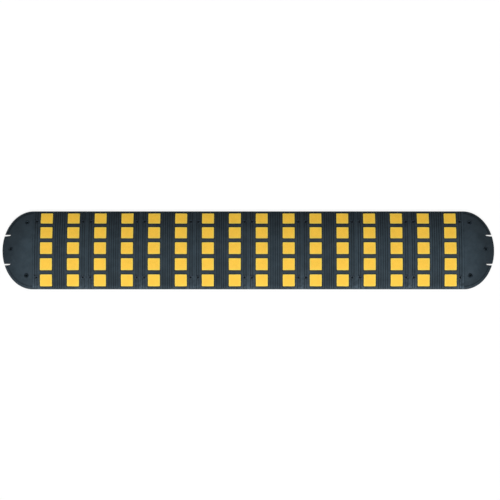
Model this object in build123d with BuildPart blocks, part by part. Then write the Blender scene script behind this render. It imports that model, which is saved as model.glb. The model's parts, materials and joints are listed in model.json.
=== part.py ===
"""Modular rubber speed bump: ribbed arched modules in a row between two rounded end caps.

All sizes are in millimetres. +X runs along the bump, across the lane. +Y points over it, in the
direction of travel. +Z is up. The origin is the centre of the footprint, on the road.
"""
import math
import os

from build123d import *

# Overall layout
module_count = 8
module_length = 250.0
bump_width = 370.0
crown_height = 50.0
lip_height = 8.0
cap_reach = 143.0

# Rounded and broken edges of the rubber
lip_round = 3.0
joint_chamfer = 0.8
joint_chamfer_angle = 45.0

# Reflective squares and the recesses that hold them
square_size = 55.0
square_corner = 3.0
square_thickness = 2.0
square_sink = 0.4
recess_gap = 1.0
square_edge_margin = 13.0
square_least_gap = 15.0

# Ribs across the modules, with a groove between each two
rib_pitch = 10.4
groove_width = 4.5
groove_depth = 2.0
groove_side_margin = 1.5
groove_end_margin = 1.5

# What is sunk in the caps: a groove along the rim and a panel at the tip, both measured inwards from the rim
rim_groove_inset = 10.0
rim_groove_width = 4.5
rim_groove_depth = 2.0
tip_panel_reach = 58.0
tip_panel_depth = 0.8

# Bolt holes and their steel bushes
module_bolt_hole_diameter = 9.0
cap_bolt_hole_diameter = 12.0
bush_wall = 2.0
bush_flange_width = 3.0
bush_flange_thickness = 2.5
bush_seat_height = 18.0
bush_chamfer = 0.5
bush_clearance = 0.1
module_bolt_end_inset = 17.5
module_bolt_edge_inset = 52.5
cap_side_bolt_inset = 28.0
cap_side_bolt_edge_inset = 59.0
cap_tip_bolt_inset = 40.0

# Pegs and sockets between neighbours
peg_diameter = 20.0
peg_length = 18.0
peg_offset = 35.0
peg_tip_chamfer = 2.0
peg_clearance = 0.3

# Cable channels under the bump and the slots where they leave the caps
channel_width = 9.0
channel_height = 14.0
channel_offset = 69.0
rim_slot_reach = 28.0

# Extra length of a cutting shape past the surface that it cuts
overcut = 5.0

# Arcs and places that follow from the sizes above
half_width = bump_width / 2
arc_rise = crown_height - lip_height
crown_radius = (half_width**2 + arc_rise**2) / (2 * arc_rise)
crown_centre_height = crown_height - crown_radius
cap_squeeze = (cap_reach / half_width, 1, 1)
modules_half_length = module_count * module_length / 2

arc_length = 2 * crown_radius * math.asin(half_width / crown_radius)
row_span = arc_length - 2 * square_edge_margin
row_count = int((row_span + square_least_gap) / (square_size + square_least_gap))
row_pitch = (row_span - square_size) / max(row_count - 1, 1)
column_offset = module_length / 4
recess_size = square_size + 2 * recess_gap
recess_floor = square_sink + square_thickness

module_bolt_points = [
    (side_x * (module_length / 2 - module_bolt_end_inset), side_y * (half_width - module_bolt_edge_inset))
    for side_x in (-1, 1)
    for side_y in (-1, 1)
]
cap_side_bolt_offset = half_width - cap_side_bolt_edge_inset
cap_bolt_points = [
    (cap_side_bolt_inset, -cap_side_bolt_offset),
    (cap_side_bolt_inset, cap_side_bolt_offset),
    (cap_reach - cap_tip_bolt_inset, 0),
]
peg_height = crown_height / 2
peg_points = [(-peg_offset, peg_height), (peg_offset, peg_height)]


def draw_section(inset, mode=Mode.ADD):
    """Draw the cross-section under the crown arc, the arc moved inwards along its normals by inset."""
    radius = crown_radius - inset
    edge_angle = math.degrees(math.acos(half_width / radius))
    with BuildLine() as outline:
        crown = CenterArc((0, crown_centre_height), radius, edge_angle, 180 - 2 * edge_angle)
        Polyline(crown @ 1, (-half_width, 0), (half_width, 0), crown @ 0)
    make_face(outline.edges(), mode=mode)


def draw_cap_profile(inset, rim, mode=Mode.ADD):
    """Draw half the cross-section, out to rim and down below the road, its arc moved inwards by inset."""
    radius = crown_radius - inset
    rim_angle = math.degrees(math.acos(rim / radius))
    with BuildLine() as outline:
        crown = CenterArc((0, crown_centre_height), radius, rim_angle, 90 - rim_angle)
        Polyline(crown @ 1, (0, -overcut), (rim, -overcut), crown @ 0)
    make_face(outline.edges(), mode=mode)


def revolve_cap_layer(depth):
    """Turn a layer of a cap's crown, from above it down to a depth, drawn in along X as the cap is."""
    with BuildSketch(Plane.back) as layer:
        draw_cap_profile(-overcut, half_width + overcut)
        draw_cap_profile(depth, half_width + overcut, mode=Mode.SUBTRACT)
    revolve(layer.sketch, axis=Axis.Z)
    scale(by=cap_squeeze)


def draw_channels():
    """Draw the two cable channels in cross-section, each with a round roof."""
    wall_height = channel_height - channel_width / 2
    with Locations((-channel_offset, wall_height / 2), (channel_offset, wall_height / 2)):
        Rectangle(channel_width, wall_height)
    with Locations((-channel_offset, wall_height), (channel_offset, wall_height)):
        Circle(channel_width / 2)


def draw_rim_band(outer_inset, inner_inset):
    """Draw a band that follows the rim of a cap, between two distances inwards from the rim."""
    with BuildLine() as outline:
        outer, inner = [
            EllipticalCenterArc((0, 0), cap_reach - inset, half_width - inset, start_angle=-90, arc_size=180)
            for inset in (outer_inset, inner_inset)
        ]
        Line(outer @ 0, inner @ 0)
        Line(inner @ 1, outer @ 1)
    make_face(outline.edges())


def cut_bolt_holes(points, hole_diameter):
    """Cut a stepped hole for a bush at each point, open to the sky above its seat."""
    radius = hole_diameter / 2 + bush_wall + bush_clearance
    with Locations(*[(x, y, crown_height) for x, y in points]):
        CounterBoreHole(radius, radius + bush_flange_width, crown_height - bush_seat_height, crown_height)


def build_bush(hole_diameter):
    """Build a flanged bush, standing on the road."""
    radius = hole_diameter / 2 + bush_wall
    on_floor = (Align.CENTER, Align.CENTER, Align.MIN)
    with BuildPart() as bush:
        Cylinder(radius, bush_seat_height, align=on_floor)
        with Locations((0, 0, bush_seat_height)):
            Cylinder(radius + bush_flange_width, bush_flange_thickness, align=on_floor)
        Hole(hole_diameter / 2)
        chamfer(bush.edges().group_by(Axis.Z)[-1], bush_chamfer)
    return bush.part


def row_plane(row):
    """Return the plane that touches the crown at the middle of a row of squares."""
    angle = (row - (row_count - 1) / 2) * row_pitch / crown_radius
    outward = (0, math.sin(angle), math.cos(angle))
    foot = (0, crown_radius * outward[1], crown_centre_height + crown_radius * outward[2])
    return Plane(origin=foot, x_dir=(1, 0, 0), z_dir=outward)


row_planes = [row_plane(row) for row in range(row_count)]

# One column of reflective squares, which follow the crown
with BuildPart() as squares:
    with BuildSketch(*row_planes):
        RectangleRounded(square_size, square_size, square_corner)
    extrude(amount=square_size / 2, both=True)
    with BuildSketch(Plane.YZ):
        draw_section(square_sink)
        draw_section(recess_floor, mode=Mode.SUBTRACT)
    extrude(amount=square_size, both=True, mode=Mode.INTERSECT)

# The recesses under one column of squares
with BuildPart() as recesses:
    with BuildSketch(*row_planes):
        RectangleRounded(recess_size, recess_size, square_corner + recess_gap)
    extrude(amount=recess_size / 2, both=True)
    with BuildSketch(Plane.YZ):
        draw_section(-overcut)
        draw_section(recess_floor, mode=Mode.SUBTRACT)
    extrude(amount=recess_size, both=True, mode=Mode.INTERSECT)

# One groove between two ribs, across a module
with BuildPart() as groove:
    with BuildSketch(Plane.YZ):
        draw_section(-overcut)
        draw_section(groove_depth, mode=Mode.SUBTRACT)
        Rectangle(bump_width - 2 * groove_end_margin, 2 * (crown_height + overcut), mode=Mode.INTERSECT)
    extrude(amount=groove_width / 2, both=True)

# Grooves of a module: one across its middle, and more each side of that and inwards from each joint
half_band = column_offset - recess_size / 2
side_groove_count = int((half_band - groove_side_margin - groove_width / 2) / rib_pitch)
steps_aside = [number * rib_pitch for number in range(1, side_groove_count + 1)]
side_grooves = steps_aside + [module_length / 2 - step for step in steps_aside]
groove_places = [0] + [side * x for x in side_grooves for side in (-1, 1)]

# One module, with its pegs at its +X end and its sockets at its -X end
with BuildPart() as module_pattern:
    with BuildSketch(Plane.YZ):
        draw_section(0)
    extrude(amount=module_length / 2, both=True)
    fillet(module_pattern.edges().filter_by(Axis.X).group_by(Axis.Z)[-1], lip_round)
    end_edges = module_pattern.faces().filter_by(Axis.X).edges()
    chamfer(end_edges.filter_by_position(Axis.Z, 0, crown_height, (False, True)), joint_chamfer)
    with Locations((-column_offset, 0, 0), (column_offset, 0, 0)):
        add(recesses.part, mode=Mode.SUBTRACT)
    with Locations(*[(x, 0, 0) for x in groove_places]):
        add(groove.part, mode=Mode.SUBTRACT)
    cut_bolt_holes(module_bolt_points, module_bolt_hole_diameter)
    with BuildSketch(Plane.YZ):
        draw_channels()
    extrude(amount=module_length / 2, both=True, mode=Mode.SUBTRACT)
    with BuildSketch(Plane.YZ.offset(-module_length / 2)):
        with Locations(*peg_points):
            Circle(peg_diameter / 2 + peg_clearance)
    extrude(amount=peg_length + peg_clearance, mode=Mode.SUBTRACT)
    with BuildSketch(Plane.YZ.offset(module_length / 2)):
        with Locations(*peg_points):
            Circle(peg_diameter / 2)
    extrude(amount=peg_length)
    chamfer(module_pattern.edges().group_by(Axis.X)[-1], peg_tip_chamfer)

# The groove along the rim of a cap, on each side as far as the rim slot
with BuildPart() as rim_groove:
    revolve_cap_layer(rim_groove_depth)
    with BuildSketch():
        draw_rim_band(rim_groove_inset, rim_groove_inset + rim_groove_width)
        Rectangle(2 * (cap_reach + overcut), 2 * channel_offset, mode=Mode.SUBTRACT)
    extrude(amount=crown_height + overcut, mode=Mode.INTERSECT)

# The sunk panel at the tip of a cap, between its rim slots
with BuildPart() as tip_panel:
    revolve_cap_layer(tip_panel_depth)
    with BuildSketch():
        draw_rim_band(-overcut, tip_panel_reach)
        Rectangle(2 * (cap_reach + overcut), 2 * channel_offset, mode=Mode.INTERSECT)
    extrude(amount=crown_height + overcut, mode=Mode.INTERSECT)

# Half the cross-section of a cap, with its rounded lip
with BuildSketch() as cap_half_section:
    draw_cap_profile(0, half_width)
    rim_corners = cap_half_section.vertices().group_by(Axis.X)[-1]
    fillet(rim_corners.sort_by(Axis.Y)[-1], lip_round)

# The space that a cap fills behind its chamfered joint: the cross-section, which widens from the joint
with BuildPart() as cap_joint_taper:
    with BuildSketch(Plane.YZ):
        add(cap_half_section.sketch)
        mirror(about=Plane.YZ)
        offset(amount=-joint_chamfer)
    extrude(amount=cap_reach + overcut, taper=-joint_chamfer_angle)

# One end cap before its pegs or sockets, with its joint at X = 0 and its tip on +X: the module's
# cross-section turned about its middle, and drawn in along X to the reach of the cap
slot_rim_x = cap_reach * math.sqrt(1 - (channel_offset / half_width) ** 2)
with BuildPart() as cap_pattern:
    with BuildSketch(Plane.back):
        add(cap_half_section.sketch)
    revolve(axis=Axis.Z)
    scale(by=cap_squeeze)
    split(bisect_by=Plane.YZ)
    split(bisect_by=Plane.XY)
    add(cap_joint_taper.part, mode=Mode.INTERSECT)
    add([rim_groove.part, tip_panel.part], mode=Mode.SUBTRACT)
    cut_bolt_holes(cap_bolt_points, cap_bolt_hole_diameter)
    with BuildSketch(Plane.YZ):
        draw_channels()
    extrude(amount=cap_reach, mode=Mode.SUBTRACT)
    with BuildSketch():
        with Locations((slot_rim_x, -channel_offset), (slot_rim_x, channel_offset)):
            SlotOverall(2 * rim_slot_reach, channel_width)
    extrude(amount=crown_height, mode=Mode.SUBTRACT)


def export_node(part, node):
    """Name a finished piece and write it to its own file."""
    part.label = node
    export_step(part, f"parts/{node}.step")


os.makedirs("parts", exist_ok=True)
module_bush = build_bush(module_bolt_hole_diameter)
cap_bush = build_bush(cap_bolt_hole_diameter)

# The modules in their row, each with its squares and its bushes
for number in range(1, module_count + 1):
    module_x = (number - (module_count + 1) / 2) * module_length
    with BuildPart() as module:
        with Locations((module_x, 0, 0)):
            add(module_pattern.part)
    export_node(module.part, f"module_{number}")
    for side, side_x in (("left", -column_offset), ("right", column_offset)):
        with BuildPart() as reflectors:
            with Locations((module_x + side_x, 0, 0)):
                add(squares.part)
        export_node(reflectors.part, f"module_{number}_reflectors_{side}")
    with BuildPart() as module_bushes:
        with Locations(*[(module_x + x, y, 0) for x, y in module_bolt_points]):
            add(module_bush)
    export_node(module_bushes.part, f"module_{number}_bolt_bushes")

# The left cap, whose pegs enter the first module
with BuildPart() as left_end_cap:
    with Locations((-modules_half_length, 0, 0)):
        add(cap_pattern.part, rotation=(0, 0, 180))
    with BuildSketch(Plane.YZ.offset(-modules_half_length)):
        with Locations(*peg_points):
            Circle(peg_diameter / 2)
    extrude(amount=peg_length)
    chamfer(left_end_cap.edges().group_by(Axis.X)[-1], peg_tip_chamfer)
export_node(left_end_cap.part, "left_end_cap")

# The right cap, whose sockets take the pegs of the last module
with BuildPart() as right_end_cap:
    with Locations((modules_half_length, 0, 0)):
        add(cap_pattern.part)
    with BuildSketch(Plane.YZ.offset(modules_half_length)):
        with Locations(*peg_points):
            Circle(peg_diameter / 2 + peg_clearance)
    extrude(amount=peg_length + peg_clearance, mode=Mode.SUBTRACT)
export_node(right_end_cap.part, "right_end_cap")

with BuildPart() as left_cap_bushes:
    with Locations(*[(-modules_half_length - x, y, 0) for x, y in cap_bolt_points]):
        add(cap_bush)
export_node(left_cap_bushes.part, "left_cap_bolt_bushes")

with BuildPart() as right_cap_bushes:
    with Locations(*[(modules_half_length + x, y, 0) for x, y in cap_bolt_points]):
        add(cap_bush)
export_node(right_cap_bushes.part, "right_cap_bolt_bushes")
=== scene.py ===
"""Studio scene of a modular rubber speed bump.

It holds the finish of every piece, the floor, the light and the camera. Lengths are in metres, in the
frame of the packed model: +X along the bump, +Y over it and +Z up.
"""
import json
import math

import bmesh
import bpy
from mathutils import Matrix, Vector


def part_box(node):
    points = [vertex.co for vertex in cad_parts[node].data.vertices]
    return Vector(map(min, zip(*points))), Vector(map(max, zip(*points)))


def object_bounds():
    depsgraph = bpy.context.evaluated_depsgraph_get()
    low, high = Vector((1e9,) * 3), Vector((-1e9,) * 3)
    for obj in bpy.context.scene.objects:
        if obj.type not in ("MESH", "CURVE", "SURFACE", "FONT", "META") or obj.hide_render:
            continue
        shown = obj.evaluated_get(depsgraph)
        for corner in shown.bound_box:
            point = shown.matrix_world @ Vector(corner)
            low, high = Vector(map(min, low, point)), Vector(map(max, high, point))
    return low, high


bl_info = {
    "name": "Rubber Speed Bump",
    "version": (1, 0, 0),
    "blender": (4, 5, 0),
    "location": "View3D > Sidebar > Speed Bump",
    "description": "Dresses the pieces of a modular rubber speed bump and sets up its studio",
    "category": "Material",
}

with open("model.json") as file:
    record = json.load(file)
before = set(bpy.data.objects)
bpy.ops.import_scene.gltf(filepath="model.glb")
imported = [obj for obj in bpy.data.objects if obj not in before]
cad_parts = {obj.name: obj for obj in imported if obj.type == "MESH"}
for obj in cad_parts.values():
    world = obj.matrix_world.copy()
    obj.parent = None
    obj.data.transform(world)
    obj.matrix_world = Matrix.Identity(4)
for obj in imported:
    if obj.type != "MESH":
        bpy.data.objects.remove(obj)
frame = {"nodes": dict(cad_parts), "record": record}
CAD_LOW, CAD_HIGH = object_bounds()

# Sizes of the bump that its finishes follow, read from the frame. A band parts two columns of squares
HALF_WIDTH = CAD_HIGH.y
CROWN_HEIGHT = CAD_HIGH.z
JOINT_X = -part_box("module_1")[0].x
CAP_REACH = CAD_HIGH.x - JOINT_X
MODULE_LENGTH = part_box("module_2")[0].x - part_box("module_1")[0].x
COLUMN_LOW, COLUMN_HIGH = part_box("module_1_reflectors_left")
SQUARE_SIZE = COLUMN_HIGH.x - COLUMN_LOW.x
COLUMN_X = (COLUMN_LOW.x + COLUMN_HIGH.x) / 2
COLUMN_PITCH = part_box("module_1_reflectors_right")[0].x - COLUMN_LOW.x
HALF_BAND = (COLUMN_PITCH - SQUARE_SIZE) / 2

# Steps from the middle row of squares to the row at an edge
ROW_STEPS_TO_EDGE = 2

# Rise of a surface's normal where dust and the painted flange light start to lie, and where they lie in
# full
LEVEL_RISE = (0.75, 1)

# Rise of a surface's normal where the wall of a groove ends, and where its floor, which takes painted
# shade, starts
GROOVE_FLOOR_RISE = (0.6, 0.85)

# Shares of a groove's depth where its wall ends, and where its floor, which takes painted shade, starts
GROOVE_FLOOR_DEPTH = (0.5, 0.9)

# Heights of the grain at the foot and near the top of a bead
BEAD_RISE = (0.2, 0.9)

# Amount at which the tone of clouds goes all the way from 0 to 2
FULL_CLOUDS = 1

# Tones of such clouds where the phosphate layer starts to wear, and where it is rubbed thin
WORN_RANGE = (1.1, 1.9)


def nodes_of(slot):
    """Return the CAD objects that the record gives to a material slot."""
    subparts = frame["record"]["subparts"]
    return [frame["nodes"][part["node"]] for part in subparts if part["material_slot"] == slot]


def crown_radius(lip_height):
    """Return the radius of the crown's arc, which rises from the lips to the crown."""
    rise = CROWN_HEIGHT - lip_height
    return (HALF_WIDTH**2 + rise**2) / (2 * rise)


# Settings that a user would change

class RubberFinish(bpy.types.PropertyGroup):
    """Finish of the moulded rubber of the modules and caps."""

    colour: bpy.props.FloatVectorProperty(
        name="Colour", description="Colour of the clean rubber",
        subtype="COLOR", size=3, min=0, max=1, default=(0.0138, 0.0213, 0.0277))
    dust_colour: bpy.props.FloatVectorProperty(
        name="Dust Colour", description="Colour of the fine dust on surfaces that face up",
        subtype="COLOR", size=3, min=0, max=1, default=(0.16, 0.17, 0.17))
    dust_cover: bpy.props.FloatProperty(
        name="Dust Cover", description="Share of the dust colour where the dust lies thickest",
        subtype="FACTOR", min=0, max=1, default=0.03)
    dust_size: bpy.props.FloatProperty(
        name="Dust Size", description="Width of a patch of dust",
        subtype="DISTANCE", unit="LENGTH", min=0.001, default=0.02)
    groove_depth: bpy.props.FloatProperty(
        name="Groove Depth", description="Depth of the grooves of the modules and of the caps' rims",
        subtype="DISTANCE", unit="LENGTH", min=0.0001, precision=4, default=0.002)
    # Groove Shade and Cap Groove Shade paint shade onto the floors of grooves, in tone and in sheen.
    groove_shade: bpy.props.FloatProperty(
        name="Groove Shade", description="Share of tone and sheen that is left on the floor of a groove",
        subtype="FACTOR", min=0, max=1, default=0.44)
    cap_groove_shade: bpy.props.FloatProperty(
        name="Cap Groove Shade", description="Share of tone and sheen that is left in the caps' grooves",
        subtype="FACTOR", min=0, max=1, default=0.66)
    # Crevice Shade and Crevice Width paint shade onto the strip of rubber round each square.
    crevice_shade: bpy.props.FloatProperty(
        name="Crevice Shade", description="Share of tone and sheen that is left right beside a square",
        subtype="FACTOR", min=0, max=1, default=0.55)
    crevice_width: bpy.props.FloatProperty(
        name="Crevice Width", description="Width of the strip beside a square that its rim darkens",
        subtype="DISTANCE", unit="LENGTH", min=0.0001, default=0.01)
    cap_tone: bpy.props.FloatProperty(
        name="Cap Tone", description="Tone and sheen of the caps as a share of those of the modules",
        subtype="FACTOR", min=0, max=1, default=0.95)
    # The rubbed settings lighten tone and sheen along the near rim and at the joints: partly wear, partly
    # painted highlight.
    rubbed_highlight_width: bpy.props.FloatProperty(
        name="Rubbed Highlight Width", description="Width of the strip along the rim that is rubbed lighter",
        subtype="DISTANCE", unit="LENGTH", min=0.001, default=0.03)
    rubbed_highlight_tone: bpy.props.FloatProperty(
        name="Rubbed Highlight Tone", description="Tone and sheen at the most rubbed spots of the long edge",
        min=1, max=3, default=1.55)
    rubbed_joint_highlight_width: bpy.props.FloatProperty(
        name="Rubbed Joint Highlight Width", description="How far in from the long edge joints are rubbed lighter",
        subtype="DISTANCE", unit="LENGTH", min=0.001, default=0.12)
    rubbed_joint_highlight_tone: bpy.props.FloatProperty(
        name="Rubbed Joint Highlight Tone", description="Tone and sheen that joints gain at their most rubbed spots",
        min=1, max=3, default=1.43)
    rubbed_cap_highlight_tone: bpy.props.FloatProperty(
        name="Rubbed Cap Highlight Tone", description="Tone and sheen at the most rubbed spots of the caps' rims",
        min=1, max=3, default=1.25)
    rubbed_size: bpy.props.FloatProperty(
        name="Rubbed Size", description="Width of a rubbed spot",
        subtype="DISTANCE", unit="LENGTH", min=0.001, default=0.012)
    lip_height: bpy.props.FloatProperty(
        name="Lip Height", description="Height of the long edges, where the crown's arc starts",
        subtype="DISTANCE", unit="LENGTH", min=0, default=0.008)
    cloud_size: bpy.props.FloatProperty(
        name="Cloud Size", description="Width of the soft patches in the rubber's tone",
        subtype="DISTANCE", unit="LENGTH", min=0.001, default=0.045)
    cloud_amount: bpy.props.FloatProperty(
        name="Cloud Amount", description="How far the patches are lighter or darker",
        subtype="FACTOR", min=0, max=1, default=0.14)
    module_spread: bpy.props.FloatProperty(
        name="Module Spread", description="How far the tone differs from one moulding to the next",
        subtype="FACTOR", min=0, max=1, default=0.05)
    grain_size: bpy.props.FloatProperty(
        name="Grain Size", description="Width of a grain of the moulded surface",
        subtype="DISTANCE", unit="LENGTH", min=0.0001, default=0.0012)
    grain_height: bpy.props.FloatProperty(
        name="Grain Height", description="Height of a grain of the moulded surface",
        subtype="DISTANCE", unit="LENGTH", min=0, precision=6, default=0.00009)
    roughness: bpy.props.FloatProperty(
        name="Roughness", description="Roughness of the rubber between its grains",
        subtype="FACTOR", min=0, max=1, default=0.6)
    sheen: bpy.props.FloatProperty(
        name="Sheen", description="Weight of the thin skin that gives the rubber its sheen",
        subtype="FACTOR", min=0, max=1, default=0.2)
    sheen_roughness: bpy.props.FloatProperty(
        name="Sheen Roughness", description="Roughness of the skin that gives the rubber its sheen",
        subtype="FACTOR", min=0, max=1, default=0.42)


class SheetFinish(bpy.types.PropertyGroup):
    """Finish of the reflective squares."""

    colour: bpy.props.FloatVectorProperty(
        name="Colour", description="Colour of the reflective sheet",
        subtype="COLOR", size=3, min=0, max=1, default=(0.9, 0.54, 0.058))
    rim_colour: bpy.props.FloatVectorProperty(
        name="Rim Colour", description="Colour of the sheet at the very rim of a square",
        subtype="COLOR", size=3, min=0, max=1, default=(0.87, 0.62, 0.09))
    rim_width: bpy.props.FloatProperty(
        name="Rim Width", description="Width over which the sheet changes to the colour of its rim",
        subtype="DISTANCE", unit="LENGTH", min=0.0001, default=0.008)
    bead_size: bpy.props.FloatProperty(
        name="Bead Size", description="Width of a glass bead under the face of the sheet",
        subtype="DISTANCE", unit="LENGTH", min=0.0001, default=0.0009)
    bead_height: bpy.props.FloatProperty(
        name="Bead Height", description="Height of a bead on the face of the sheet",
        subtype="DISTANCE", unit="LENGTH", min=0, precision=6, default=0.00003)
    bead_contrast: bpy.props.FloatProperty(
        name="Bead Contrast", description="How much darker the sheet is between its beads",
        subtype="FACTOR", min=0, max=1, default=0.16)
    cloud_size: bpy.props.FloatProperty(
        name="Cloud Size", description="Width of the soft patches in the sheet's tone",
        subtype="DISTANCE", unit="LENGTH", min=0.001, default=0.03)
    cloud_amount: bpy.props.FloatProperty(
        name="Cloud Amount", description="How far the patches are lighter or darker",
        subtype="FACTOR", min=0, max=1, default=0.04)
    roughness: bpy.props.FloatProperty(
        name="Roughness", description="Roughness of the face of the sheet",
        subtype="FACTOR", min=0, max=1, default=0.45)
    coat: bpy.props.FloatProperty(
        name="Coat", description="Weight of the clear film over the beads",
        subtype="FACTOR", min=0, max=1, default=0.06)
    coat_roughness: bpy.props.FloatProperty(
        name="Coat Roughness", description="Roughness of the clear film over the beads",
        subtype="FACTOR", min=0, max=1, default=0.3)


class SteelFinish(bpy.types.PropertyGroup):
    """Finish of the blackened steel bushes."""

    colour: bpy.props.FloatVectorProperty(
        name="Colour", description="Colour of the black phosphate layer",
        subtype="COLOR", size=3, min=0, max=1, default=(0.0045, 0.006, 0.0075))
    bare_colour: bpy.props.FloatVectorProperty(
        name="Bare Colour", description="Colour of the steel where the layer is rubbed thin",
        subtype="COLOR", size=3, min=0, max=1, default=(0.02, 0.025, 0.03))
    dust_colour: bpy.props.FloatVectorProperty(
        name="Dust Colour", description="Colour of the fine dust on the flanges",
        subtype="COLOR", size=3, min=0, max=1, default=(0.16, 0.17, 0.17))
    dust_cover: bpy.props.FloatProperty(
        name="Dust Cover", description="Share of the dust colour where the dust lies thickest",
        subtype="FACTOR", min=0.001, max=1, default=0.03)
    dust_size: bpy.props.FloatProperty(
        name="Dust Size", description="Width of a patch of dust",
        subtype="DISTANCE", unit="LENGTH", min=0.001, default=0.006)
    dusty_metal: bpy.props.FloatProperty(
        name="Dusty Metal", description="Share of metal that shows through the thickest dust",
        subtype="FACTOR", min=0, max=1, default=0.7)
    # The flange light settings paint light onto the flanges of the module bushes, lighter on the near
    # side, in place of the light that their counterbores shade.
    flange_light_colour: bpy.props.FloatVectorProperty(
        name="Flange Light Colour", description="Colour of the road grime on the flanges that wheels roll over",
        subtype="COLOR", size=3, min=0, max=1, default=(0.036, 0.048, 0.06))
    flange_light_near_tone: bpy.props.FloatProperty(
        name="Flange Light Near Tone", description="Tone of the grime on the side where traffic arrives",
        min=0, max=4, default=1.9)
    flange_light_cover: bpy.props.FloatProperty(
        name="Flange Light Cover", description="Share of those flanges that the grime covers",
        subtype="FACTOR", min=0, max=1, default=0.98)
    flange_light_spread: bpy.props.FloatProperty(
        name="Flange Light Spread", description="How far the grime is lighter or darker in spots",
        subtype="FACTOR", min=0, max=1, default=0.5)
    wear: bpy.props.FloatProperty(
        name="Wear", description="Share of bare steel in the most rubbed spots",
        subtype="FACTOR", min=0, max=1, default=0.25)
    wear_size: bpy.props.FloatProperty(
        name="Wear Size", description="Width of a rubbed spot",
        subtype="DISTANCE", unit="LENGTH", min=0.0001, default=0.004)
    grain_size: bpy.props.FloatProperty(
        name="Grain Size", description="Width of a grain of the phosphate layer",
        subtype="DISTANCE", unit="LENGTH", min=0.0001, default=0.0006)
    grain_height: bpy.props.FloatProperty(
        name="Grain Height", description="Height of a grain of the phosphate layer",
        subtype="DISTANCE", unit="LENGTH", min=0, precision=6, default=0.00002)
    roughness: bpy.props.FloatProperty(
        name="Roughness", description="Roughness of the phosphate layer",
        subtype="FACTOR", min=0, max=1, default=0.5)
    bare_roughness: bpy.props.FloatProperty(
        name="Bare Roughness", description="Roughness of the steel where the layer is rubbed thin",
        subtype="FACTOR", min=0, max=1, default=0.3)
    gloss: bpy.props.FloatProperty(
        name="Gloss", description="Specular level of the bushes that have no grime",
        subtype="FACTOR", min=0, max=1, default=0.5)


class StudioSetup(bpy.types.PropertyGroup):
    """Floor, light and camera."""

    background: bpy.props.FloatVectorProperty(
        name="Background", description="Colour of the floor and of what lies behind it",
        subtype="COLOR", size=3, min=0, max=1, default=(1, 1, 1))
    floor_size: bpy.props.FloatProperty(
        name="Floor Size", description="Length of a side of the floor",
        subtype="DISTANCE", unit="LENGTH", min=1, default=60)
    floor_glow: bpy.props.FloatProperty(
        name="Floor Glow", description="Share of the floor's colour that shows in any light",
        subtype="FACTOR", min=0, max=1, default=0.75)
    # Painted shadow: the floor under the bump, seen through the bolt holes, takes a dark colour in place
    # of shade.
    painted_shadow_inset: bpy.props.FloatProperty(
        name="Painted Shadow Inset", description="How far inside the rim of the bump the covered ground starts",
        subtype="DISTANCE", unit="LENGTH", min=0, default=0.03)
    painted_shadow_colour: bpy.props.FloatVectorProperty(
        name="Painted Shadow Colour", description="Colour of the ground that is seen through the bolt holes",
        subtype="COLOR", size=3, min=0, max=1, default=(0.013, 0.019, 0.025))
    key_strength: bpy.props.FloatProperty(
        name="Key Strength", description="Irradiance of the key light, in watts for each square metre",
        min=0, default=2.6)
    key_tilt: bpy.props.FloatProperty(
        name="Key Tilt", description="Angle of the key light from straight above, towards the viewer",
        subtype="ANGLE", unit="ROTATION", default=math.radians(38))
    key_spread: bpy.props.FloatProperty(
        name="Key Spread", description="Angle that the soft key light takes up in the sky",
        subtype="ANGLE", unit="ROTATION", default=math.radians(60))
    sky_colour: bpy.props.FloatVectorProperty(
        name="Sky Colour", description="Colour of the even light from all round",
        subtype="COLOR", size=3, min=0, max=1, default=(1, 1, 1))
    sky_strength: bpy.props.FloatProperty(
        name="Sky Strength", description="Strength of the even light from all round",
        min=0, default=0.4)
    softbox_colour: bpy.props.FloatVectorProperty(
        name="Softbox Colour", description="Colour of the softbox, which the rubber shows as sheen",
        subtype="COLOR", size=3, min=0, max=1, default=(0.6, 0.84, 1))
    softbox_strength: bpy.props.FloatProperty(
        name="Softbox Strength", description="Irradiance of the softbox, in watts for each square metre",
        min=0, default=5.2)
    softbox_tilt: bpy.props.FloatProperty(
        name="Softbox Tilt", description="Angle of the softbox from straight above, towards the viewer",
        subtype="ANGLE", unit="ROTATION", default=math.radians(4))
    softbox_spread: bpy.props.FloatProperty(
        name="Softbox Spread", description="Angle that the softbox takes up in the sky",
        subtype="ANGLE", unit="ROTATION", default=math.radians(80))
    aim: bpy.props.FloatVectorProperty(
        name="Aim", description="Point on the floor that the camera looks at",
        subtype="XYZ", unit="LENGTH", size=3, default=(0.0079, 0.0019, 0))
    elevation: bpy.props.FloatProperty(
        name="Elevation", description="Angle of the camera above the floor",
        subtype="ANGLE", unit="ROTATION", default=math.radians(77.5))
    distance: bpy.props.FloatProperty(
        name="Distance", description="Distance of the camera from its aim",
        subtype="DISTANCE", unit="LENGTH", min=0.1, default=12.923)
    lens: bpy.props.FloatProperty(
        name="Lens", description="Focal length in millimetres",
        unit="CAMERA", min=1, default=200)


# Helpers for node trees

def feed(tree, value, socket):
    """Set a socket to a value, or link it to the socket that is given as the value."""
    if isinstance(value, bpy.types.NodeSocket):
        tree.links.new(value, socket)
    elif socket.type == "RGBA" and len(value) == 3:
        socket.default_value = (*value, 1)
    else:
        socket.default_value = value


def feed_inputs(tree, node, inputs):
    """Feed several inputs of a node, by name or by place."""
    for key, value in inputs.items():
        feed(tree, value, node.inputs[key])


def add_node(tree, kind, inputs=None, **settings):
    """Add a node with its settings, and feed its inputs."""
    node = tree.nodes.new(kind)
    for name, value in settings.items():
        setattr(node, name, value)
    feed_inputs(tree, node, inputs or {})
    return node


def calculate(tree, operation, *values):
    """Add a math node and return its result."""
    node = add_node(tree, "ShaderNodeMath", dict(enumerate(values)), operation=operation)
    return node.outputs["Value"]


def product(tree, value, *others):
    """Return the product of several values."""
    for other in others:
        value = calculate(tree, "MULTIPLY", value, other)
    return value


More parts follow.
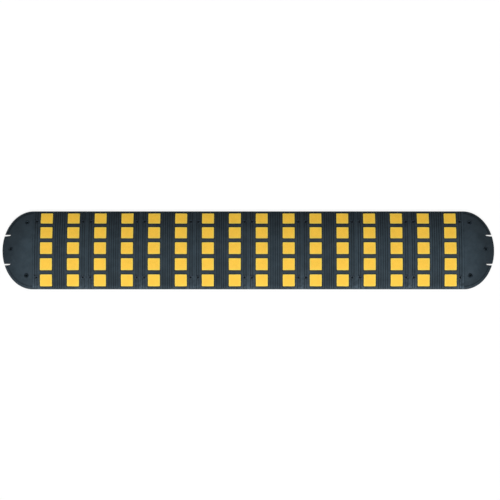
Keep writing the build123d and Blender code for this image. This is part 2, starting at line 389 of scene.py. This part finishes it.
def ramp(tree, value, start, end, low=0, high=1):
    """Return a smooth change from low to high while a value goes from start to end."""
    inputs = {"Value": value, "From Min": start, "From Max": end, "To Min": low, "To Max": high}
    node = add_node(tree, "ShaderNodeMapRange", inputs, interpolation_type="SMOOTHSTEP")
    return node.outputs["Result"]


def mix_colours(tree, share, first, second):
    """Return the first colour changed towards the second by a share."""
    inputs = {"Factor": share, "A": first, "B": second}
    return add_node(tree, "ShaderNodeMix", inputs, data_type="RGBA").outputs["Result"]


def mix_shaders(tree, share, first, second):
    """Return the first shader changed towards the second by a share."""
    node = add_node(tree, "ShaderNodeMixShader", dict(enumerate((share, first, second))))
    return node.outputs["Shader"]


def scale_colour(tree, colour, tone):
    """Return a colour multiplied by a tone."""
    node = add_node(tree, "ShaderNodeVectorMath", {"Vector": colour, "Scale": tone}, operation="SCALE")
    return node.outputs["Vector"]


def object_point(tree):
    """Return the place on the piece, in metres."""
    return add_node(tree, "ShaderNodeTexCoord").outputs["Object"]


def parts_of(tree, vector):
    """Return the X, Y and Z of a vector."""
    return add_node(tree, "ShaderNodeSeparateXYZ", {"Vector": vector}).outputs


def length_of(tree, **parts):
    """Return the length of a vector with the given X, Y or Z."""
    vector = add_node(tree, "ShaderNodeCombineXYZ", parts).outputs["Vector"]
    node = add_node(tree, "ShaderNodeVectorMath", {"Vector": vector}, operation="LENGTH")
    return node.outputs["Value"]


def facing_up(tree, start, end):
    """Return 0 where a surface's normal rises by start or less, and 1 where it rises by end or more."""
    normal = add_node(tree, "ShaderNodeNewGeometry").outputs["Normal"]
    return ramp(tree, parts_of(tree, normal)["Z"], start, end)


def past_joint(tree, x):
    """Return how far an X lies past the joint with a cap, and 0 between the two caps."""
    beyond = calculate(tree, "SUBTRACT", calculate(tree, "ABSOLUTE", x), JOINT_X)
    return calculate(tree, "MAXIMUM", beyond, 0)


def cells_per_metre(tree, size):
    """Return the texture scale that gives patches of a size."""
    return calculate(tree, "DIVIDE", 1, size)


def patches(tree, size, detail, roughness, start, end, low=0, high=1):
    """Return patches of a size that change from low to high while a noise goes from start to end."""
    inputs = {"Vector": object_point(tree), "Scale": cells_per_metre(tree, size), "Detail": detail,
              "Roughness": roughness}
    noise = add_node(tree, "ShaderNodeTexNoise", inputs)
    return ramp(tree, noise.outputs["Fac"], start, end, low, high)


def new_group(name, inputs, outputs):
    """Start a node group, and return it with the sockets that it reads and fills."""
    tree = bpy.data.node_groups.new(name, "ShaderNodeTree")
    for label, default in inputs.items():
        socket = tree.interface.new_socket(label, in_out="INPUT", socket_type="NodeSocketFloat")
        socket.default_value = default
    for label in outputs:
        tree.interface.new_socket(label, in_out="OUTPUT", socket_type="NodeSocketFloat")
    given = tree.nodes.new("NodeGroupInput").outputs
    made = tree.nodes.new("NodeGroupOutput").inputs
    return tree, given, made


def new_material(name):
    """Start a material, and return it with its node tree and its shader."""
    material = bpy.data.materials.new(name)
    material.use_nodes = True
    return material, material.node_tree, material.node_tree.nodes["Principled BSDF"]


# Surface effects that several finishes share, each a node group

def make_grain(name):
    """Fine pebbled grain, as a height from 0 to 1."""
    tree, given, made = new_group(name, {"Size": 0.001}, ["Height"])
    inputs = {"Vector": object_point(tree), "Scale": cells_per_metre(tree, given["Size"])}
    pebbles = add_node(tree, "ShaderNodeTexVoronoi", inputs, feature="SMOOTH_F1")
    dome = calculate(tree, "SUBTRACT", 1, pebbles.outputs["Distance"])
    swell = patches(tree, given["Size"], detail=2, roughness=0.5, start=0.2, end=0.8, low=0.6)
    feed(tree, product(tree, dome, swell), made["Height"])


def make_clouds(name):
    """Soft patches, as a tone that lies around 1."""
    tree, given, made = new_group(name, {"Size": 0.05, "Amount": 0.1}, ["Tone"])
    swing = patches(tree, given["Size"], detail=5, roughness=0.6, start=0.25, end=0.75, low=-1)
    feed(tree, calculate(tree, "MULTIPLY_ADD", swing, given["Amount"], 1), made["Tone"])


def make_dust(name):
    """Fine dust that lies in patches on surfaces that face up, as a share."""
    tree, given, made = new_group(name, {"Patch Size": 0.02, "Cover": 0.1}, ["Share"])
    spots = patches(tree, given["Patch Size"], detail=8, roughness=0.7, start=0.3, end=0.75)
    feed(tree, product(tree, facing_up(tree, *LEVEL_RISE), spots, given["Cover"]), made["Share"])


def make_crown(name):
    """Depth below the crown's arc, place along it and reach from its middle, also on the drawn-in caps."""
    tree, given, made = new_group(name, {"Radius": 0.4}, ["Depth", "Along", "Reach"])
    point = parts_of(tree, object_point(tree))
    stretched = product(tree, past_joint(tree, point["X"]), HALF_WIDTH / CAP_REACH)
    raised = calculate(tree, "ADD", point["Z"], given["Radius"])
    over_centre = calculate(tree, "SUBTRACT", raised, CROWN_HEIGHT)
    arm = length_of(tree, X=stretched, Y=point["Y"], Z=over_centre)
    feed(tree, calculate(tree, "SUBTRACT", given["Radius"], arm), made["Depth"])
    angle = calculate(tree, "ARCTAN2", point["Y"], over_centre)
    feed(tree, product(tree, angle, given["Radius"]), made["Along"])
    feed(tree, length_of(tree, X=stretched, Y=point["Y"]), made["Reach"])


def make_rubbed_rim_highlight(name):
    """Spots rubbed light, partly wear and partly painted highlight, as a share that grows to the rim on
    the near side, which faces the key light.
    """
    tree, given, made = new_group(name, {"Reach": 0.1, "Width": 0.02, "Spot Size": 0.01}, ["Share"])
    spots = patches(tree, given["Spot Size"], detail=6, roughness=0.65, start=0.3, end=0.6)
    start = calculate(tree, "SUBTRACT", HALF_WIDTH, given["Width"])
    near_rim = ramp(tree, given["Reach"], start, HALF_WIDTH)
    y = parts_of(tree, object_point(tree))["Y"]
    # Painted highlight: only the near half, which faces the key light, is lightened.
    near_lit_side = ramp(tree, y, -HALF_WIDTH / 2, 0, 1, 0)
    feed(tree, product(tree, near_rim, spots, near_lit_side), made["Share"])


GROUP_MAKERS = {
    "Fine Grain": make_grain,
    "Soft Clouds": make_clouds,
    "Settled Dust": make_dust,
    "Crown Arc": make_crown,
    "Rubbed Rim Highlight": make_rubbed_rim_highlight,
}


def place_group(tree, name, **values):
    """Place a shared effect with its own values, and return its outputs. Its group is made only once."""
    if name not in bpy.data.node_groups:
        GROUP_MAKERS[name](name)
    inputs = {label.replace("_", " ").title(): value for label, value in values.items()}
    return add_node(tree, "ShaderNodeGroup", inputs, node_tree=bpy.data.node_groups[name]).outputs


# Tones of the bump's forms, with painted shade and painted highlight

def distance_from_middle(tree, value, start, pitch):
    """Return how far a value lies from the nearest of evenly spaced middles."""
    offset = calculate(tree, "WRAP", calculate(tree, "SUBTRACT", value, start), pitch / 2, -pitch / 2)
    return calculate(tree, "ABSOLUTE", offset)


def row_pitch(radius):
    """Return the distance between two rows of squares along the crown's arc."""
    edge_angle = math.asin(COLUMN_HIGH.y / radius)
    half_square_angle = math.asin(SQUARE_SIZE / 2 / radius)
    return (edge_angle - half_square_angle) * radius / ROW_STEPS_TO_EDGE


def from_square_middle(tree, along, radius):
    """Return how far a place lies from the middle of the nearest square, measured square to its sides."""
    x = parts_of(tree, object_point(tree))["X"]
    across_square = distance_from_middle(tree, x, COLUMN_X, COLUMN_PITCH)
    along_square = distance_from_middle(tree, along, 0, row_pitch(radius))
    return calculate(tree, "MAXIMUM", across_square, along_square)


def groove_tone(tree, crown, settings, shade):
    """Return the painted shade on the floors of grooves as a tone, and 1 beside them."""
    start, end = (share * settings.groove_depth for share in GROOVE_FLOOR_DEPTH)
    floor = product(tree, ramp(tree, crown["Depth"], start, end), facing_up(tree, *GROOVE_FLOOR_RISE))
    return ramp(tree, floor, 0, 1, 1, shade)


def crevice_tone(tree, crown, settings):
    """Return the painted shade on the narrow strip of rubber round each square as a tone, and 1 away from
    it.
    """
    away = from_square_middle(tree, crown["Along"], crown_radius(settings.lip_height))
    rim = SQUARE_SIZE / 2
    return ramp(tree, away, rim, rim + settings.crevice_width, settings.crevice_shade, 1)


def rim_tone(tree, crown, settings, width, most):
    """Return the tone of the rubbed strip along the rim, partly wear and partly painted highlight, and 1
    inside it.
    """
    size = settings.rubbed_size
    outputs = place_group(tree, "Rubbed Rim Highlight", reach=crown["Reach"], width=width, spot_size=size)
    return ramp(tree, outputs["Share"], 0, 1, 1, most)


def joint_tone(tree, crown, settings):
    """Return the tone that the ends of the joints gain, partly wear and partly painted highlight, and 1
    away from them.
    """
    x = parts_of(tree, object_point(tree))["X"]
    from_joint = distance_from_middle(tree, x, JOINT_X, MODULE_LENGTH)
    beside_joint = ramp(tree, from_joint, HALF_BAND / 2, COLUMN_PITCH / 2, 1, 0)
    rubbed = rim_tone(tree, crown, settings, settings.rubbed_joint_highlight_width, settings.rubbed_joint_highlight_tone)
    return ramp(tree, beside_joint, 0, 1, 1, rubbed)


def lot_tone(tree, settings):
    """Return the tone of each moulding, which differs a little from one to the next."""
    x = parts_of(tree, object_point(tree))["X"]
    moulding = calculate(tree, "FLOOR", calculate(tree, "DIVIDE", x, MODULE_LENGTH))
    lot = add_node(tree, "ShaderNodeTexWhiteNoise", {"W": moulding}, noise_dimensions="1D")
    spread = settings.module_spread
    return ramp(tree, lot.outputs["Value"], 0, 1, 1 - spread, 1 + spread)


# Finishes

def cloud_tone(tree, settings):
    """Return the tone of the soft patches of a finish."""
    outputs = place_group(tree, "Soft Clouds", size=settings.cloud_size, amount=settings.cloud_amount)
    return outputs["Tone"]


def dust_share(tree, settings):
    """Return the share of dust that lies on a finish."""
    outputs = place_group(tree, "Settled Dust", patch_size=settings.dust_size, cover=settings.dust_cover)
    return outputs["Share"]


def grain_normal(tree, grain, height):
    """Return the normal of a surface with a grain of a height."""
    return add_node(tree, "ShaderNodeBump", {"Height": grain, "Distance": height}).outputs["Normal"]


def finish_rubber(tree, shader, settings, form_tone):
    """Matt black rubber on forms of uneven tone: soft clouds, a little dust, a sheen and a fine grain."""
    clouds = cloud_tone(tree, settings)
    # The form tone holds painted shade and painted highlight, and also scales the sheen.
    tone = product(tree, clouds, lot_tone(tree, settings), form_tone)
    clean = scale_colour(tree, settings.colour, tone)
    grain = place_group(tree, "Fine Grain", size=settings.grain_size)["Height"]
    feed_inputs(tree, shader, {
        "Base Color": mix_colours(tree, dust_share(tree, settings), clean, settings.dust_colour),
        "Roughness": product(tree, clouds, settings.roughness),
        "Coat Weight": product(tree, tone, settings.sheen),
        "Coat Roughness": settings.sheen_roughness,
        "Specular IOR Level": 0,
        "Normal": grain_normal(tree, grain, settings.grain_height),
    })


def module_finish(settings):
    """Rubber of the modules: painted shade in grooves and round the squares, rubbed edges and joints with
    painted highlight.
    """
    material, tree, shader = new_material("ribbed_rubber")
    crown = place_group(tree, "Crown Arc", radius=crown_radius(settings.lip_height))
    grooves = groove_tone(tree, crown, settings, settings.groove_shade)
    crevices = crevice_tone(tree, crown, settings)
    edges = rim_tone(tree, crown, settings, settings.rubbed_highlight_width, settings.rubbed_highlight_tone)
    joints = joint_tone(tree, crown, settings)
    finish_rubber(tree, shader, settings, product(tree, grooves, crevices, edges, joints))
    return material


def cap_finish(settings):
    """Rubber of the caps: painted shade in the groove along the rim, and a rim rubbed less than the
    modules, with painted highlight.
    """
    material, tree, shader = new_material("cap_rubber")
    crown = place_group(tree, "Crown Arc", radius=crown_radius(settings.lip_height))
    grooves = groove_tone(tree, crown, settings, settings.cap_groove_shade)
    edges = rim_tone(tree, crown, settings, settings.rubbed_highlight_width, settings.rubbed_cap_highlight_tone)
    finish_rubber(tree, shader, settings, product(tree, grooves, edges, settings.cap_tone))
    return material


def sheet_finish(settings, radius):
    """Yellow reflective sheet: a bed of fine beads under a clear film, paler towards its rim."""
    material, tree, shader = new_material("reflective_sheet")
    along = place_group(tree, "Crown Arc", radius=radius)["Along"]
    away = from_square_middle(tree, along, radius)
    rim = ramp(tree, away, SQUARE_SIZE / 2 - settings.rim_width, SQUARE_SIZE / 2)
    colour = mix_colours(tree, rim, settings.colour, settings.rim_colour)
    clouds = cloud_tone(tree, settings)
    beads = place_group(tree, "Fine Grain", size=settings.bead_size)["Height"]
    contrast = settings.bead_contrast
    bead_tone = ramp(tree, beads, *BEAD_RISE, 1 - contrast, 1 + contrast)
    feed_inputs(tree, shader, {
        "Base Color": scale_colour(tree, colour, product(tree, clouds, bead_tone)),
        "Roughness": product(tree, clouds, settings.roughness),
        "Coat Weight": settings.coat,
        "Coat Roughness": settings.coat_roughness,
        "Specular IOR Level": 0,
        "Normal": grain_normal(tree, beads, settings.bead_height),
    })
    return material


def uneven_flange_light(tree, settings, clouds):
    """Return the colour of painted light on the flanges, uneven in spots and paler on the near side."""
    spread = settings.flange_light_spread
    spots = ramp(tree, clouds, 1 - FULL_CLOUDS, 1 + FULL_CLOUDS, 1 - spread, 1 + spread)
    y = parts_of(tree, object_point(tree))["Y"]
    side = ramp(tree, y, -HALF_WIDTH / 2, HALF_WIDTH / 2, settings.flange_light_near_tone, 1)
    return scale_colour(tree, settings.flange_light_colour, product(tree, spots, side))


def steel_finish(name, settings, flange_light_cover):
    """Blackened steel: a dull phosphate layer, rubbed thin in spots, with dust and painted light on its
    flange.
    """
    material, tree, shader = new_material(name)
    clouds = place_group(tree, "Soft Clouds", size=settings.wear_size, amount=FULL_CLOUDS)["Tone"]
    worn = ramp(tree, clouds, *WORN_RANGE)
    steel = mix_colours(tree, product(tree, worn, settings.wear), settings.colour, settings.bare_colour)
    # Painted light on the upward faces of the flanges, which takes the place of the bare steel and its
    # metal.
    flange_light = product(tree, facing_up(tree, *LEVEL_RISE), flange_light_cover)
    flange_lit_steel = mix_colours(tree, flange_light, steel, uneven_flange_light(tree, settings, clouds))
    dust = dust_share(tree, settings)
    metal_through_dust = ramp(tree, dust, 0, settings.dust_cover, 1, settings.dusty_metal)
    metal_through_flange_light = ramp(tree, flange_light, 0, 1, 1, 0)
    grain = place_group(tree, "Fine Grain", size=settings.grain_size)["Height"]
    feed_inputs(tree, shader, {
        "Base Color": mix_colours(tree, dust, flange_lit_steel, settings.dust_colour),
        "Roughness": ramp(tree, worn, 0, 1, settings.roughness, settings.bare_roughness),
        "Metallic": product(tree, metal_through_dust, metal_through_flange_light),
        "Specular IOR Level": settings.gloss * (1 - flange_light_cover),
        "Normal": grain_normal(tree, grain, settings.grain_height),
    })
    return material


def dress(pieces, material):
    """Give a finish to pieces that keep their shape."""
    if not pieces:
        raise RuntimeError(f"the frame has no piece for {material.name}")
    for piece in pieces:
        for slot in piece.material_slots:
            slot.material = material


# Stage

def seen_or_mirrored(tree):
    """Return 1 for rays that come from the camera, a shiny surface or glass, and 0 for the rest."""
    path = add_node(tree, "ShaderNodeLightPath").outputs
    seen = calculate(tree, "MAXIMUM", path["Is Camera Ray"], path["Is Transmission Ray"])
    return calculate(tree, "MAXIMUM", seen, path["Is Glossy Ray"])


def painted_shadow_under_bump(tree, inset):
    """Return 1 on the ground that the bump covers, except near its rim, and 0 elsewhere: the mask of a
    painted shadow.
    """
    point = parts_of(tree, object_point(tree))
    end_share = calculate(tree, "DIVIDE", past_joint(tree, point["X"]), CAP_REACH - inset)
    side_share = calculate(tree, "DIVIDE", point["Y"], HALF_WIDTH - inset)
    return calculate(tree, "LESS_THAN", length_of(tree, X=end_share, Y=side_share), 1)


def floor_finish(settings):
    """Pale floor that takes shadows and shows its colour in any light, with a painted shadow where the
    bump covers it.
    """
    material, tree, shader = new_material("pale_floor")
    covered = painted_shadow_under_bump(tree, settings.painted_shadow_inset)
    # Painted shadow under the bump, in the floor's colour and in its glow.
    colour = mix_colours(tree, covered, settings.background, settings.painted_shadow_colour)
    feed_inputs(tree, shader, {"Base Color": colour, "Roughness": 1, "Specular IOR Level": 0})
    glow = add_node(tree, "ShaderNodeEmission", {"Color": colour})
    share = product(tree, seen_or_mirrored(tree), settings.floor_glow)
    surface = mix_shaders(tree, share, shader.outputs["BSDF"], glow.outputs["Emission"])
    feed(tree, surface, tree.nodes["Material Output"].inputs["Surface"])
    return material


def make_floor(settings):
    """Lay the floor under the bump."""
    mesh = bpy.data.meshes.new("floor")
    shape = bmesh.new()
    bmesh.ops.create_grid(shape, x_segments=1, y_segments=1, size=settings.floor_size / 2)
    shape.to_mesh(mesh)
    shape.free()
    floor = bpy.data.objects.new("floor", mesh)
    mesh.materials.append(floor_finish(settings))
    bpy.context.scene.collection.objects.link(floor)


def make_sky(settings):
    """Even light from all round, seen and mirrored as the background."""
    world = bpy.data.worlds.new("studio")
    world.use_nodes = True
    tree = world.node_tree
    sky = tree.nodes["Background"]
    feed_inputs(tree, sky, {"Color": settings.sky_colour, "Strength": settings.sky_strength})
    backdrop = add_node(tree, "ShaderNodeBackground", {"Color": settings.background, "Strength": 1})
    shaders = (node.outputs["Background"] for node in (sky, backdrop))
    surface = mix_shaders(tree, seen_or_mirrored(tree), *shaders)
    feed(tree, surface, tree.nodes["World Output"].inputs["Surface"])
    bpy.context.scene.world = world


def make_lamp(name, strength, tilt, spread):
    """Add a broad soft light that is even along the whole bump, and return it."""
    lamp = bpy.data.lights.new(name, "SUN")
    lamp.energy = strength
    lamp.angle = spread
    light = bpy.data.objects.new(name, lamp)
    light.rotation_euler = (tilt, 0, 0)
    bpy.context.scene.collection.objects.link(light)
    return light


def make_lights(settings):
    """A key light over the viewer's shoulder, and a softbox overhead that shows only as sheen."""
    key = make_lamp("soft_key", settings.key_strength, settings.key_tilt, settings.key_spread)
    key.visible_glossy = False
    softbox = make_lamp("softbox", settings.softbox_strength, settings.softbox_tilt,
                        settings.softbox_spread)
    softbox.data.color = settings.softbox_colour
    softbox.visible_diffuse = False


def make_camera(settings):
    """Long lens from high above the near side."""
    back = Vector((0, -math.cos(settings.elevation), math.sin(settings.elevation)))
    lens = bpy.data.cameras.new("camera")
    lens.lens = settings.lens
    camera = bpy.data.objects.new("camera", lens)
    camera.location = Vector(settings.aim) + back * settings.distance
    camera.rotation_euler = (-back).to_track_quat("-Z", "Y").to_euler()
    bpy.context.scene.collection.objects.link(camera)
    bpy.context.scene.camera = camera


# Operators

class SPEED_BUMP_OT_dress_modules(bpy.types.Operator):
    """Give the ribbed modules their moulded rubber finish"""

    bl_idname = "speed_bump.dress_modules"
    bl_label = "Dress Modules"

    def execute(self, context):
        modules = [piece for piece in nodes_of("black_rubber") if piece.name.startswith("module")]
        dress(modules, module_finish(context.scene.speed_bump_rubber))
        return {"FINISHED"}


class SPEED_BUMP_OT_dress_caps(bpy.types.Operator):
    """Give the rounded end caps their moulded rubber finish"""

    bl_idname = "speed_bump.dress_caps"
    bl_label = "Dress End Caps"

    def execute(self, context):
        caps = [piece for piece in nodes_of("black_rubber") if piece.name.endswith("end_cap")]
        dress(caps, cap_finish(context.scene.speed_bump_rubber))
        return {"FINISHED"}


class SPEED_BUMP_OT_dress_squares(bpy.types.Operator):
    """Give the reflective squares their beaded yellow sheet"""

    bl_idname = "speed_bump.dress_squares"
    bl_label = "Dress Squares"

    def execute(self, context):
        radius = crown_radius(context.scene.speed_bump_rubber.lip_height)
        dress(nodes_of("reflective_yellow"), sheet_finish(context.scene.speed_bump_sheet, radius))
        return {"FINISHED"}


class SPEED_BUMP_OT_dress_bushes(bpy.types.Operator):
    """Give the bolt bushes their blackened steel"""

    bl_idname = "speed_bump.dress_bushes"
    bl_label = "Dress Bolt Bushes"

    def execute(self, context):
        settings = context.scene.speed_bump_steel
        bushes = nodes_of("blackened_steel")
        driven = [piece for piece in bushes if piece.name.startswith("module")]
        others = [piece for piece in bushes if piece not in driven]
        # The flanges of the module bushes take painted light.
        dress(driven, steel_finish("driven_steel", settings, settings.flange_light_cover))
        dress(others, steel_finish("blackened_steel", settings, 0))
        return {"FINISHED"}


class SPEED_BUMP_OT_build_stage(bpy.types.Operator):
    """Build the floor, the light and the camera"""

    bl_idname = "speed_bump.build_stage"
    bl_label = "Build Stage"

    def execute(self, context):
        settings = context.scene.speed_bump_studio
        context.scene.view_settings.view_transform = "Standard"
        make_floor(settings)
        make_sky(settings)
        make_lights(settings)
        make_camera(settings)
        return {"FINISHED"}


SETTINGS = {
    "speed_bump_rubber": RubberFinish,
    "speed_bump_sheet": SheetFinish,
    "speed_bump_steel": SteelFinish,
    "speed_bump_studio": StudioSetup,
}
OPERATORS = (
    SPEED_BUMP_OT_dress_modules,
    SPEED_BUMP_OT_dress_caps,
    SPEED_BUMP_OT_dress_squares,
    SPEED_BUMP_OT_dress_bushes,
    SPEED_BUMP_OT_build_stage,
)


class SPEED_BUMP_PT_sidebar(bpy.types.Panel):
    """Settings and steps of the speed bump"""

    bl_idname = "SPEED_BUMP_PT_sidebar"
    bl_label = "Speed Bump"
    bl_space_type = "VIEW_3D"
    bl_region_type = "UI"
    bl_category = "Speed Bump"

    def draw(self, context):
        for pointer, group in SETTINGS.items():
            box = self.layout.box()
            box.label(text=group.__doc__)
            for name in group.__annotations__:
                box.prop(getattr(context.scene, pointer), name)
        for operator in OPERATORS:
            self.layout.operator(operator.bl_idname)


CLASSES = (*SETTINGS.values(), *OPERATORS, SPEED_BUMP_PT_sidebar)


def register():
    """Add the settings, the steps and the panel."""
    for each in CLASSES:
        bpy.utils.register_class(each)
    for pointer, group in SETTINGS.items():
        setattr(bpy.types.Scene, pointer, bpy.props.PointerProperty(type=group))


def unregister():
    """Take the settings, the steps and the panel away again."""
    for pointer in SETTINGS:
        delattr(bpy.types.Scene, pointer)
    for each in reversed(CLASSES):
        bpy.utils.unregister_class(each)


def main():
    """Register the add-on, dress every piece and build the stage."""
    register()
    bpy.ops.speed_bump.dress_modules()
    bpy.ops.speed_bump.dress_caps()
    bpy.ops.speed_bump.dress_squares()
    bpy.ops.speed_bump.dress_bushes()
    bpy.ops.speed_bump.build_stage()


if __name__ == "__main__":
    main()
